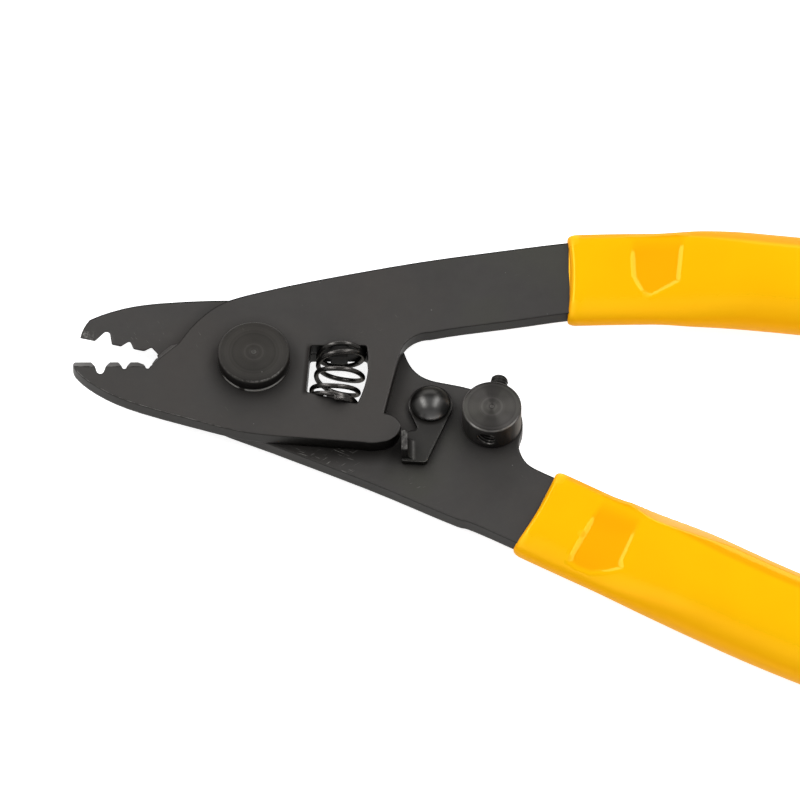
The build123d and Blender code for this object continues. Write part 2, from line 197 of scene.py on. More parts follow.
def round_edges(tree, reach):
    """Softened surface direction near sharp edges, and how near an edge is."""
    e = tree.nodes.new("ShaderNodeBevel")
    e.samples = BEVEL_SAMPLES
    e.inputs["Radius"].default_value = reach * MM
    g = tree.nodes.new("ShaderNodeNewGeometry")
    d = tree.nodes.new("ShaderNodeVectorMath")
    d.operation = "DOT_PRODUCT"
    wire(tree, e.outputs["Normal"], d.inputs[0])
    wire(tree, g.outputs["True Normal"], d.inputs[1])
    return e.outputs["Normal"], d.outputs["Value"]


def bump(tree, bsdf, height, strength, distance, over=None):
    """Relief in the surface direction, over another one where it is given."""
    b = tree.nodes.new("ShaderNodeBump")
    if over:
        wire(tree, over, b.inputs["Normal"])
    b.inputs["Strength"].default_value = strength
    b.inputs["Distance"].default_value = distance
    wire(tree, height, b.inputs["Height"])
    wire(tree, b.outputs["Normal"], bsdf.inputs["Normal"])


def scratches(tree, turn_deg, seed, rarity):
    """A few thin broken lines in one direction."""
    streak = noise(tree, place(tree, (0.7, 9.0, 0.7), turn_deg, (seed, seed * 0.7, 0)), 1.0, 1.0)
    patch = noise(tree, place(tree, (0.11, 0.11, 0.11), 0, (seed, 3, 1)), 1.0, 2.0)
    return both(tree, span(tree, streak, 0.72, 0.79), span(tree, patch, rarity, rarity + 0.08))


def specks(tree, per_mm, size, seed, rarity):
    """Small bright pits."""
    dots = tree.nodes.new("ShaderNodeTexVoronoi")
    dots.inputs["Scale"].default_value = per_mm
    wire(tree, place(tree, shift=(seed, 0, 0)), dots.inputs["Vector"])
    near = span(tree, dots.outputs["Distance"], size * per_mm, size * per_mm * 1.7, 1.0, 0.0)
    some = span(tree, noise(tree, place(tree, shift=(seed, 5, 0)), 0.25, 2.0), rarity, rarity + 0.06)
    return both(tree, near, some)


def away_from(tree, at):
    """Distance in millimetres from a point of the XY plane."""
    d = tree.nodes.new("ShaderNodeVectorMath")
    d.operation = "DISTANCE"
    wire(tree, place(tree, (1, 1, 0)), d.inputs[0])
    d.inputs[1].default_value = (at[0], at[1], 0)
    return d.outputs["Value"]


def disc(tree, at, reach):
    """Soft disc around a point of the XY plane."""
    return span(tree, away_from(tree, at), reach * 0.5, reach, 1.0, 0.0)


# colours over the oxide (bare metal and painted highlight); reach of the painted corner shade and of the
# rounded edges in millimetres; how dark the painted shade on far edges goes
WORN_AND_HIGHLIGHT = (0.36, 0.35, 0.33)
BROWN = (1.06, 0.985, 0.93)
OLIVE = (0.93, 0.98, 0.84)
CORNER_SHADE_REACH = 3.0
EDGE_REACH = 0.45
FAR_EDGE_SHADE = 0.14


def shaded(tree, colour, level):
    """A colour times a grey level; this is how painted shade goes into a colour."""
    factor, first, second, result = blend_slots(tree, "RGBA", "MULTIPLY")
    factor.default_value = 1.0
    wire(tree, colour, first)
    grey = tree.nodes.new("ShaderNodeCombineColor")
    for k in range(3):
        wire(tree, level, grey.inputs[k])
    wire(tree, grey.outputs[0], second)
    return result


def scaled(colour, *by):
    """A colour times one factor, or times one for each channel."""
    return tuple(c * k for c, k in zip(colour, by * 3 if len(by) == 1 else by))


def turning_marks(tree, bsdf, base, dark, light, centre, rings_per_mm, grooved):
    """Lathe rings in the colour, and a highlight that follows them; gives the colour and the rings."""
    ring = tree.nodes.new("ShaderNodeTexNoise")
    ring.noise_dimensions = "1D"
    ring.inputs["Scale"].default_value = rings_per_mm
    ring.inputs["Detail"].default_value = 4.0
    wire(tree, away_from(tree, centre), ring.inputs["W"])
    rings = ring.outputs["Fac"]
    base = mix(tree, span(tree, rings, 0.53, 0.68, 0.0, 0.45), base, scaled(light, 1.7))
    base = mix(tree, span(tree, rings, 0.47, 0.34, 0.0, 0.45), base, scaled(dark, 0.7))
    bsdf.inputs["Anisotropic"].default_value = grooved
    bsdf.inputs["Anisotropic Rotation"].default_value = 0.25
    tangent = tree.nodes.new("ShaderNodeTangent")
    tangent.direction_type = "RADIAL"
    tangent.axis = "Z"
    wire(tree, tangent.outputs[0], bsdf.inputs["Tangent"])
    return base, rings


def oxide_steel(name, dark, light, roughness, wall=0.35, turned=None, metal=0.45):
    """Black oxide over ground or turned steel: clouds, tints, fine grain, pits and scratches, and painted
    shade on walls, corners and far edges.

    wall is how bright the side walls stay under the painted shade.
    turned is the centre, the rings per mm and the grooving of a lathe-turned face.
    """
    m, tree, bsdf = shader(name)
    bsdf.inputs["Metallic"].default_value = metal
    bsdf.inputs["Specular IOR Level"].default_value = 0.35
    bsdf.inputs["Specular Tint"].default_value = (0.45, 0.44, 0.42, 1)
    v = place(tree)
    clouds = noise(tree, v, 0.1, 5.0, 0.6)
    grain = noise(tree, v, 4.5, 6.0, 0.7)
    tint = noise(tree, place(tree, shift=(40, 0, 0)), 0.055, 3.0)
    base = mix(tree, span(tree, clouds, 0.3, 0.7), dark, light)
    base = mix(tree, span(tree, tint, 0.5, 0.66, 0.0, 0.3), base, scaled(light, *BROWN))
    base = mix(tree, span(tree, tint, 0.46, 0.32, 0.0, 0.55), base, scaled(light, *OLIVE))
    base = mix(tree, span(tree, grain, 0.58, 0.8, 0.0, 0.3), base, scaled(dark, 0.6))
    marks = maths(tree, "MAXIMUM", scratches(tree, 24, 2.0, 0.63), scratches(tree, -58, 9.0, 0.61))
    marks = maths(tree, "MAXIMUM", marks, specks(tree, 0.5, 0.07, 7.0, 0.56))
    base = mix(tree, maths(tree, "MULTIPLY", marks, 0.4), base, WORN_AND_HIGHLIGHT)

    # painted shade: walls, corners (by ambient occlusion) and edges that face away from the viewer's side are
    # darkened in the colour
    up = face_up(tree)
    deep = tree.nodes.new("ShaderNodeAmbientOcclusion")
    deep.samples = AO_SAMPLES
    deep.inputs["Distance"].default_value = CORNER_SHADE_REACH * MM
    walls = span(tree, up, 0.25, 0.75, wall, 1.0)
    corners = span(tree, deep.outputs["AO"], 0.4, 0.96, 0.45, 1.0)
    soft, edge = round_edges(tree, EDGE_REACH)
    turned_away = span(tree, parts_of(tree, soft)["Y"], 0.03, 0.25)
    far = both(tree, turned_away, span(tree, edge, 0.999, 0.975), span(tree, up, 0.9, 0.97))
    level = both(tree, both(tree, walls, corners), span(tree, far, 0.0, 1.0, 1.0, FAR_EDGE_SHADE))
    base = shaded(tree, base, level)

    height = maths(tree, "MULTIPLY", grain, 0.5)
    if turned:
        base, rings = turning_marks(tree, bsdf, base, dark, light, *turned)
        height = maths(tree, "ADD", height, maths(tree, "MULTIPLY", rings, 1.2))
    uneven = span(tree, clouds, 0.25, 0.75, roughness + 0.05, roughness - 0.05)
    wire(tree, uneven, bsdf.inputs["Roughness"])
    factor, first, second, normal = blend_slots(tree, "VECTOR")
    wire(tree, far, factor)
    wire(tree, soft, first)
    wire(tree, tree.nodes.new("ShaderNodeNewGeometry").outputs["True Normal"], second)
    bump(tree, bsdf, height, 0.3, 0.03 * MM, normal)
    wire(tree, base, bsdf.inputs["Base Color"])
    return m, tree, bsdf, base, up


# places in the part's millimetres: the latch's rivet, and the stop screw's middle and direction
PIVOT = (0.0, 0.0)
LOCK_PIN = (26.8, -6.85)
BOSS = (36.08, -9.48)
BOSS_FOOT, BOSS_HEIGHT = 5.2, 4.85
STOP = Vector((*BOSS, BOSS_FOOT + BOSS_HEIGHT / 2))
STOP_TURN = math.radians(11.3)
WAY = Vector((math.sin(STOP_TURN), math.cos(STOP_TURN), 0))
SIDE = Vector((WAY.y, -WAY.x, 0))
PITCH = 0.5


def wear_and_painted_light(steel, mask_maker, amount, colour=WORN_AND_HIGHLIGHT):
    """Another colour over an oxide material where a mask says: bright bare metal for wear as a rule, or
    painted light and shade.
    """
    m, tree, bsdf, base, up = steel
    mask = maths(tree, "MULTIPLY", mask_maker(tree, up), amount)
    overpainted = mix(tree, mask, base, colour)
    wire(tree, overpainted, bsdf.inputs["Base Color"])
    return m, tree, bsdf, overpainted, up


def dress(name, material):
    """Give a CAD node its material."""
    o = NODES[name]
    o.data.materials.clear()
    o.data.materials.append(material)
    return o


def jaw_wear(tree, up):
    """Rubbed rims of the jaws, away from the pivot."""
    soft, edge = round_edges(tree, 0.25)
    rim = both(tree, span(tree, up, 0.6, 0.7), span(tree, edge, 0.998, 0.97))
    x = plan(tree)[0]
    near_side = span(tree, parts_of(tree, soft)["Y"], -0.05, -0.2)
    out = maths(tree, "MAXIMUM", span(tree, x, -14.0, -17.0), near_side)
    out = both(tree, out, span(tree, x, 0.0, -6.0))
    broken = span(tree, noise(tree, place(tree, shift=(3, 0, 0)), 0.8, 4.0), 0.42, 0.6)
    return both(tree, rim, out, broken)


def tip_wear(tree, up):
    """Bright speckle on the nose of the upper jaw."""
    x, y = plan(tree)
    near = both(tree, span(tree, x, -23.8, -25.0), span(tree, y, 6.9, 6.3), span(tree, y, 4.8, 5.1))
    return both(tree, near, span(tree, noise(tree, place(tree), 2.6, 5.0, 0.7), 0.5, 0.66))


def lobe_shade(tree, up):
    """Painted shadow on the rear lever beside the lobe of the front lever."""
    x, y = plan(tree)
    below = both(tree, span(tree, y, -17.2, -15.0), span(tree, y, -11.0, -12.0))
    return both(tree, below, span(tree, x, 3.0, 12.0), span(tree, x, 24.5, 21.5), span(tree, up, 0.9, 0.98))


def rub_marks(tree, up):
    """Crossed scratches where the latch and the lobe slide over the rear lever."""
    near = disc(tree, (10.8, -16.2), 6.0)
    lines = None
    for turn_deg, seed in ((-27, 4.0), (-20, 8.0), (34, 3.0)):
        streak = noise(tree, place(tree, (0.4, 6.5, 0.4), turn_deg, (seed, 2 * seed, 0)), 1.0, 1.0)
        streak = span(tree, streak, 0.69, 0.76)
        lines = streak if lines is None else maths(tree, "MAXIMUM", lines, streak)
    return both(tree, near, lines, span(tree, up, 0.95, 0.99))


def punched_edge_shade(tree, up):
    """Painted shade of the rolled-over rim along the left side of the spring window."""
    x, y = plan(tree)
    gap = maths(tree, "SUBTRACT", maths(tree, "ADD", maths(tree, "MULTIPLY", y, 0.0793), 8.332), x)
    rim = both(tree, span(tree, gap, 0.75, 0.25), span(tree, gap, -0.4, -0.2))
    return both(tree, rim, span(tree, y, 3.2, 2.2), span(tree, y, -6.2, -5.4), span(tree, up, 0.3, 0.5))


def lobe_wall_shade(tree, up):
    """Painted shade on the wall under the right half of the front lever."""
    x, y = plan(tree)
    here = both(tree, span(tree, x, 1.0, 7.0), span(tree, y, -11.5, -12.5), span(tree, x, 24.0, 23.0))
    return both(tree, span(tree, up, 0.5, 0.2), here)


def throat_wall_shade(tree, up):
    """Painted shade on the wall of the rear lever where the two throats cross."""
    x, y = plan(tree)
    here = both(tree, span(tree, x, -16.4, -15.8), span(tree, x, -9.5, -10.5), span(tree, y, -1.0, 0.0))
    return both(tree, span(tree, up, 0.5, 0.2), here)


def dome_shade(tree, up):
    """Painted shadow round the near side of the dome, on the latch."""
    ring = span(tree, away_from(tree, LOCK_PIN), 3.75, 3.35)
    near_side = span(tree, plan(tree)[1], LOCK_PIN[1] - 0.6, LOCK_PIN[1] - 1.8)
    return both(tree, ring, near_side, span(tree, up, 0.9, 0.96))


def head_rim(tree, up):
    """Rubbed rim of the pivot head, strongest at its front right."""
    x, y = plan(tree)
    rim = both(tree, span(tree, up, 0.55, 0.75), span(tree, up, 0.985, 0.95))
    front = both(tree, span(tree, y, -2.4, -3.8), span(tree, x, -4.5, 3.0, 0.15, 1.0))
    return both(tree, rim, front, span(tree, noise(tree, place(tree), 2.2, 4.0, 0.7), 0.42, 0.6))


def boss_rim_highlight(tree, up):
    """Painted highlight on the chamfer along the front of the stop boss."""
    away = away_from(tree, BOSS)
    rim = both(tree, span(tree, away, 4.22, 4.27), span(tree, away, 4.46, 4.38), span(tree, up, 0.4, 0.6))
    uneven = span(tree, noise(tree, place(tree), 0.5, 2.0), 0.4, 0.6, 0.3, 1.0)
    return both(tree, rim, span(tree, side_of(tree, "Y"), -0.2, -0.5), uneven)


def boss_side_reflection(tree, up):
    """Painted reflection on the right flank of the stop boss."""
    flank = both(tree, span(tree, up, 0.35, 0.2), span(tree, side_of(tree, "X"), 0.74, 0.96))
    return both(tree, flank, span(tree, side_of(tree, "Y"), 0.3, -0.1))


def boss_centre(tree, up):
    """Ring left by the lathe centre on the stop boss."""
    away = away_from(tree, BOSS)
    return both(tree, span(tree, away, 0.26, 0.34), span(tree, away, 0.5, 0.42), span(tree, up, 0.9, 0.95))


def centre_pip(tree, up):
    """Bright centre mark."""
    return disc(tree, PIVOT, 0.42)


def measure_along(tree, vector, direction):
    """How far a vector reaches along a fixed direction."""
    d = tree.nodes.new("ShaderNodeVectorMath")
    d.operation = "DOT_PRODUCT"
    wire(tree, vector, d.inputs[0])
    d.inputs[1].default_value = direction
    return d.outputs["Value"]


def thread_crest_highlight(tree, up):
    """Painted highlight on the crests of the thread inside the stop boss."""
    v = place(tree, shift=(-STOP.x, -STOP.y, -STOP.z))
    a, b, z = measure_along(tree, v, WAY), measure_along(tree, v, SIDE), parts_of(tree, v)["Z"]
    away = maths(tree, "SQRT", maths(tree, "ADD", both(tree, b, b), both(tree, z, z)))
    turns = maths(tree, "ADD", maths(tree, "MULTIPLY", a, 1 / PITCH), maths(tree, "MULTIPLY", b, 0.35))
    crest = span(tree, maths(tree, "PINGPONG", turns, 0.5), 0.22, 0.42)
    return both(tree, crest, span(tree, away, 1.56, 1.5), span(tree, a, -2.0, -3.0))


def flange_wear(tree, up):
    """Sheared bright top of the latch's thumb flange, brightest round its rim."""
    z = parts_of(tree, place(tree))["Z"]
    top = span(tree, z, 8.75, 9.1)
    edge = round_edges(tree, 0.22)[1]
    ragged = span(tree, noise(tree, place(tree, (1, 0.6, 1)), 2.2, 5.0, 0.75), 0.4, 0.62)
    return both(tree, top, ragged, span(tree, edge, 0.998, 0.97, 0.4, 1.0))


def latch_rim_highlight(tree, up):
    """Painted highlight along the cut edge at the foot of the latch and left of its round end."""
    soft, edge = round_edges(tree, 0.2)
    y = plan(tree)[1]
    side = parts_of(tree, soft)
    foot = both(tree, span(tree, side["Y"], -0.1, -0.25), span(tree, y, -16.2, -16.6))
    eye = both(tree, span(tree, side["X"], -0.1, -0.25), span(tree, y, -9.4, -8.9), span(tree, y, -6.4, -7.2))
    rim = both(tree, span(tree, edge, 0.998, 0.97), span(tree, up, 0.9, 0.96))
    ragged = span(tree, noise(tree, place(tree), 1.6, 4.0, 0.7), 0.36, 0.56)
    return both(tree, maths(tree, "MAXIMUM", foot, eye), rim, ragged)


def dome_top_shade(tree, up):
    """Painted shade on the far third of the dome, darker."""
    return span(tree, plan(tree)[1], -7.3, -6.5)


def dome_foot_reflection(tree, up):
    """Painted reflection on the near rim of the dome, paler."""
    return span(tree, plan(tree)[1], -8.7, -9.5)


def washer_shade(tree, up):
    """Painted shade over the wave washer, leaving its pale painted highlight only along its near side, broken
    once.
    """
    x, y = plan(tree)
    split = span(tree, maths(tree, "ABSOLUTE", maths(tree, "ADD", x, 1.8)), 0.3, 0.6)
    return maths(tree, "SUBTRACT", 1.0, both(tree, span(tree, y, -2.8, -3.5), split))


# -------------------------------------------------------------------- steels
# dark of the painted shadows; pale of the painted reflections on the boss's flank and the dome's near rim
PAINTED_SHADOW_DARK = (0.012, 0.011, 0.01)
PALE_REFLECTION = (0.4, 0.375, 0.345)
DOME_REFLECTION = (0.26, 0.255, 0.25)
front_steel = oxide_steel("front_oxide", (0.0535, 0.051, 0.0492), (0.0678, 0.0646, 0.0622), 0.42)
front_steel = wear_and_painted_light(front_steel, jaw_wear, 0.6)
front_steel = wear_and_painted_light(front_steel, lobe_wall_shade, 0.85, (0.006, 0.0055, 0.005))
front_steel = wear_and_painted_light(front_steel, punched_edge_shade, 0.85, (0.012, 0.01, 0.009))
rear_steel = oxide_steel("rear_oxide", (0.0565, 0.0538, 0.052), (0.0715, 0.0682, 0.0658), 0.42)
rear_steel = wear_and_painted_light(rear_steel, tip_wear, 0.6)
rear_steel = wear_and_painted_light(rear_steel, jaw_wear, 0.15)
rear_steel = wear_and_painted_light(rear_steel, lobe_shade, 0.6, PAINTED_SHADOW_DARK)
rear_steel = wear_and_painted_light(rear_steel, rub_marks, 0.85)
rear_steel = wear_and_painted_light(rear_steel, throat_wall_shade, 0.6, PAINTED_SHADOW_DARK)
head_steel = oxide_steel(
    "pivot_oxide",
    (0.0352, 0.0334, 0.0309),
    (0.0434, 0.0408, 0.0376),
    0.42,
    wall=0.3,
    turned=(PIVOT, 1.1, 0.8),
)
head_steel = wear_and_painted_light(head_steel, head_rim, 0.4)
head_steel = wear_and_painted_light(head_steel, centre_pip, 0.35)
boss_steel = oxide_steel(
    "boss_oxide",
    (0.0806, 0.0758, 0.0725),
    (0.096, 0.0907, 0.0869),
    0.43,
    wall=0.22,
    turned=(BOSS, 1.0, 0.96),
    metal=1.0,
)
boss_steel = wear_and_painted_light(boss_steel, thread_crest_highlight, 0.7)
boss_steel = wear_and_painted_light(boss_steel, boss_rim_highlight, 0.7)
boss_steel = wear_and_painted_light(boss_steel, boss_side_reflection, 0.36, PALE_REFLECTION)
boss_steel = wear_and_painted_light(boss_steel, boss_centre, 0.6, (0.03, 0.028, 0.026))
latch_steel = oxide_steel("latch_oxide", (0.042, 0.0405, 0.039), (0.051, 0.049, 0.047), 0.33)
latch_steel = wear_and_painted_light(latch_steel, flange_wear, 0.65)
latch_steel = wear_and_painted_light(latch_steel, latch_rim_highlight, 0.5)
latch_steel = wear_and_painted_light(latch_steel, dome_shade, 0.75, (0.01, 0.009, 0.008))
small_steel = oxide_steel("small_oxide", (0.045, 0.044, 0.041), (0.055, 0.054, 0.05), 0.32)
dome_steel = oxide_steel("dome_oxide", (0.105, 0.103, 0.1), (0.12, 0.118, 0.114), 0.33, wall=1.0, metal=0.9)
dome_steel = wear_and_painted_light(dome_steel, dome_top_shade, 0.92, (0.022, 0.021, 0.02))
dome_steel = wear_and_painted_light(dome_steel, dome_foot_reflection, 0.7, DOME_REFLECTION)
coil_steel = oxide_steel("spring_wire", (0.075, 0.071, 0.068), (0.1, 0.096, 0.092), 0.2, wall=1.0, metal=0.9)
# pale washers: their pale colour paints the highlight along their edges
shim_steel = oxide_steel("washer_steel", (0.6, 0.59, 0.56), (0.75, 0.74, 0.71), 0.3, wall=1.0, metal=0.5)
wave_steel = oxide_steel("wave_washer_steel", (0.5, 0.49, 0.46), (0.65, 0.64, 0.61), 0.3, wall=1.0, metal=0.5)
wave_steel = wear_and_painted_light(wave_steel, washer_shade, 0.95, (0.02, 0.018, 0.017))
for part, steel in (
    ("front_lever", front_steel),
    ("rear_lever", rear_steel),
    ("pivot_nut", small_steel),
    ("pivot_back_washer", small_steel),
    ("lock_latch", latch_steel),
    ("latch_spring_washer", small_steel),
    ("pivot_screw", head_steel),
    ("stop_boss", boss_steel),
    ("latch_rivet", dome_steel),
    ("stop_screw", small_steel),
    ("pivot_wave_washer", wave_steel),
    ("pivot_shim", shim_steel),
):
    dress(part, steel[0])

# -------------------------------------------------------------------- grips
YELLOW = ((0.98, 0.49, 0.0003), (0.98, 0.52, 0.0005))
YELLOW_SPOT = (0.97, 0.46, 0.0003)
# oranges of painted shade: the hollow's floor, the far and near slopes, and the far shoulder
HOLLOW_SHADE_ORANGE = (0.97, 0.42, 0.0002)
FAR_SLOPE_SHADE, NEAR_SLOPE_SHADE = (0.99, 0.4, 0.0002), (1.0, 0.465, 0.0003)
SHOULDER_SHADE_ORANGE = (0.8, 0.3, 0.0002)


def mark(tree, key):
    """A value stored on the mesh."""
    a = tree.nodes.new("ShaderNodeAttribute")
    a.attribute_name = key
    return a.outputs["Fac"]


def dipped_vinyl():
    """Glossy yellow vinyl with painted shade: deeper orange in the hollows, on the slopes and on the far
    shoulder; dull where the mesh says.
    """
    m, tree, bsdf = shader("grip_plastisol")
    v = place(tree)
    broad = noise(tree, v, 0.07, 2.0)
    skin = noise(tree, v, 1.2, 3.0)
    yellow = mix(tree, span(tree, broad, 0.35, 0.65), *YELLOW)
    yellow = mix(tree, span(tree, skin, 0.64, 0.8, 0.0, 0.12), yellow, YELLOW_SPOT)
    # painted shade: the hollow's floor is a deeper orange
    yellow = mix(tree, mark(tree, "hollow_shade"), yellow, HOLLOW_SHADE_ORANGE)
    # painted shade: faces that are not level take a deeper orange, set by which way they slope
    level = span(tree, face_up(tree), 0.6, 0.985)
    slope_shade = mix(tree, span(tree, side_of(tree, "Y"), -0.15, -0.6), FAR_SLOPE_SHADE, NEAR_SLOPE_SHADE)
    yellow = mix(tree, level, slope_shade, yellow)
    # painted shade: the far shoulder is a darker orange
    yellow = mix(tree, maths(tree, "MULTIPLY", mark(tree, "brim_shade"), 0.85), yellow, SHOULDER_SHADE_ORANGE)
    wire(tree, yellow, bsdf.inputs["Base Color"])
    gloss = span(tree, skin, 0.3, 0.7, 0.1, 0.15)
    rough = maths(tree, "ADD", gloss, maths(tree, "MULTIPLY", mark(tree, "dull"), 0.32))
    wire(tree, rough, bsdf.inputs["Roughness"])
    bsdf.inputs["Metallic"].default_value = 0.1
    bsdf.inputs["Specular IOR Level"].default_value = 0.11
    bsdf.inputs["Specular Tint"].default_value = (1.0, 0.62, 0.9, 1)
    bump(tree, bsdf, skin, 0.06, 0.1 * MM)
    return m


plastisol = dipped_vinyl()

# points round and along a grip, its rounded end, its lip, half its thickness, its fold, mouth and hollow
FINE_POINTS = 1440
GRIP_POINTS = 168
MOUTH_STATIONS = (0.0, 0.03, 0.08, 0.15, 0.24, 0.34, 0.46, 0.6, 0.74, 0.88, 1.02, 1.16, 1.3, 1.45)
TIP = 4.5
BLUNT = 0.12
LIP, LIP_IN, LIP_DOWN = 1.5, 0.55, 0.9
HALF_THIN, HALF_SWELL = 2.2, 1.8
FOLD_SLOPE, FOLD_GROWTH = 0.84, 0.42
MOUTH_BOW = 0.55
HOLLOW_DEPTH = 0.31
STRAIGHT = 1e-9


def route(start, heading, legs):
    """Positions along straight runs and arcs: each leg is (length, turn in degrees)."""
    ends = []
    x, y = start
    a = math.radians(heading)
    for length, turned in legs:
        t = math.radians(turned)
        ends.append((x, y, a, length, t))
        if abs(t) < STRAIGHT:
            x += length * math.cos(a)
            y += length * math.sin(a)
        else:
            r = length / t
            x += r * (math.sin(a + t) - math.sin(a))
            y -= r * (math.cos(a + t) - math.cos(a))
        a += t
    total = sum(e[3] for e in ends)

    def at(s):
        """Position and heading after a run of s."""
        k = 0
        while k < len(ends) - 1 and s > ends[k][3]:
            s -= ends[k][3]
            k += 1
        px, py, pa, length, t = ends[k]
        if abs(t) < STRAIGHT:
            return px + s * math.cos(pa), py + s * math.sin(pa), pa
        r = length / t
        b = pa + s / r
        return px + r * (math.sin(b) - math.sin(pa)), py - r * (math.cos(b) - math.cos(pa)), b

    return at, total


def ease(x):
    """Smooth step from 0 to 1."""
    x = np.clip(x, 0.0, 1.0)
    return x * x * (3 - 2 * x)


def quarter(x):
    """Quarter circle from 0 to 1."""
    return math.sqrt(max(1 - (1 - x) ** 2, 0.0))


def section(half_w, half_t, power_up, power_low, fold):
    """Evenly spaced points round a rounded section, starting at its +n side, folded near it."""
    p = np.linspace(0, 2 * math.pi, FINE_POINTS, endpoint=False)
    power = np.where(np.cos(p) > 0, power_up, power_low)
    n = half_w * np.sign(np.cos(p)) * np.abs(np.cos(p)) ** (2 / power)
    z = half_t * np.sign(np.sin(p)) * np.abs(np.sin(p)) ** (2 / power)
    roof = half_t - np.maximum(n - (half_w - fold), 0) * FOLD_SLOPE
    z = np.clip(z, -roof, roof)
    step = np.hypot(np.diff(n, append=n[:1]), np.diff(z, append=z[:1]))
    run = np.concatenate([[0], np.cumsum(step)])
    want = np.linspace(0, run[-1], GRIP_POINTS, endpoint=False)
    return np.interp(want, run, np.append(n, n[0])), np.interp(want, run, np.append(z, z[0]))


def inside(px, py, poly):
    """Signed distance of points to a closed outline, positive inside it."""
    best = np.full(px.shape, 1e9)
    odd = np.zeros(px.shape, bool)
    for (ax, ay), (bx, by) in zip(poly, poly[1:] + poly[:1]):
        ex, ey = bx - ax, by - ay
        t = np.clip(((px - ax) * ex + (py - ay) * ey) / (ex * ex + ey * ey), 0, 1)
        best = np.minimum(best, np.hypot(px - ax - t * ex, py - ay - t * ey))
        cross = ((ay > py) != (by > py)) & (px < (bx - ax) * (py - ay) / (by - ay + 1e-12) + ax)
        odd ^= cross
    return np.where(odd, best, -best)


def sleeve(rings, sides):
    """Side faces that join rings of points."""
    faces = []
    for i in range(rings - 1):
        for j in range(sides):
            k = (j + 1) % sides
            faces.append((i * sides + j, i * sides + k, (i + 1) * sides + k, (i + 1) * sides + j))
    return faces


def capped(rings, sides):
    """Side faces and both ends of a closed skin."""
    last = (rings - 1) * sides
    return sleeve(rings, sides) + [tuple(reversed(range(sides))), tuple(last + j for j in range(sides))]


def made(name, verts, faces, material, smooth=True):
    """A mesh object from points in millimetres; its four-sided faces are the smooth ones."""
    mesh = bpy.data.meshes.new(name)
    mesh.from_pydata([tuple(c * MM for c in q) for q in verts], [], faces)
    mesh.materials.append(material)
    mesh.polygons.foreach_set("use_smooth", [smooth and len(f) == 4 for f in faces])
    mesh.update()
    o = bpy.data.objects.new(name, mesh)
    bpy.context.scene.collection.objects.link(o)
    return o


def grip_stations(total):
    """Distances along a grip: closer together at its mouth, its hollow and its rounded end."""
    return np.concatenate([
        np.array(MOUTH_STATIONS),
        np.arange(1.6, 22.0, 0.18),
        np.arange(22.0, total - TIP, 1.0),
        total - TIP * (1 - np.sin(np.linspace(0, math.pi / 2, 14))),
    ])


def grip_ring(s, total, widths, grows, slant, pocket, tops, fold, breaks):
    """One ring of a dipped grip: its points along, across and up, and what the material reads there."""
    # outline: thin at the mouth, growing to the full handle, rounded at the end
    grown = float(ease((s - grows[0]) / (grows[1] - grows[0])))
    thick = float(ease((s - 13.0) / 18.0))
    rolled = 1 - quarter(min(s / LIP, 1.0))
    close = quarter(min(max(total - s, 0.0) / TIP, 1.0))
    half_w = (widths[0] + (widths[1] - widths[0]) * grown) / 2 - LIP_IN * rolled
    half_t = HALF_THIN + HALF_SWELL * thick - LIP_DOWN * rolled
    half_w *= BLUNT + (1 - BLUNT) * close
    half_t *= BLUNT + (1 - BLUNT) * close
    power_up = 7.0 - 3.5 * thick
    power_low = 2.9 - 0.6 * float(ease((s - 7.0) / 24.0))
    folded = fold * float(ease((s - 9.0) / 9.0)) * close
    wide_fold = fold > 1
    n, z = section(half_w, half_t, power_up, power_low, folded)
    if wide_fold:
        n = n + FOLD_GROWTH * folded * ease(n / 7.0)

    # the mouth bows and slants a little
    fade = max(0.0, 1 - s / 5.0)
    u = s + ((MOUTH_BOW - MOUTH_BOW * (n / 7.5) ** 2) + slant * n) * fade

    # thumb hollow, fading out towards the far side
    face = ease(z / max(half_t, 1e-6) * 2.0)
    d = inside(np.full(n.shape, s), n, pocket)
    top = tops[0] + (tops[1] - tops[0]) * float(ease((s - 11.0) / 4.0))
    depth = HOLLOW_DEPTH * (1 - ease((n - top) / 4.2))
    z = z - face * depth * np.clip(d / 0.85, 0, 1)

    # dull: both shoulders but not the crease, the ends of the lip, and short breaks in the crease
    past_mouth = float(ease((s - 1.0) / 1.6))
    far_shoulder = ease((n - half_w + 1.5 + 2.0 * thick) / 0.8) * (not wide_fold or s < 14)
    dull = far_shoulder + ease((-2.8 - n) / 2.8)
    dull = np.clip(dull, 0, 1) * (1 - ease((d + 0.7) / 0.5)) * past_mouth
    dull = np.maximum(dull, ease((np.abs(n - 0.4) - 4.2) / 1.4) * (1 - past_mouth))
    for bs, bn, reach in breaks:
        dull = np.maximum(dull, 1 - ease((np.hypot(s - bs, n - bn) - reach) / 0.25))

    # the far shoulder and the hollow's floor, which get painted shade in the colour; the shoulder's is weaker
    # on a wide fold
    weaker = 1 - 0.4 * min(folded, 1.0) * wide_fold
    brim_shade = ease((n - half_w + 1.4 + 1.6 * thick) / 0.8) * weaker * float(ease((s - 1.0) / 1.5))
    hollow_shade = face * np.clip(d / 0.8, 0, 1) * (1 - ease((n - 3.0) / 4.5))
    return zip(u, n, z), {"hollow_shade": hollow_shade, "dull": dull, "brim_shade": brim_shade}


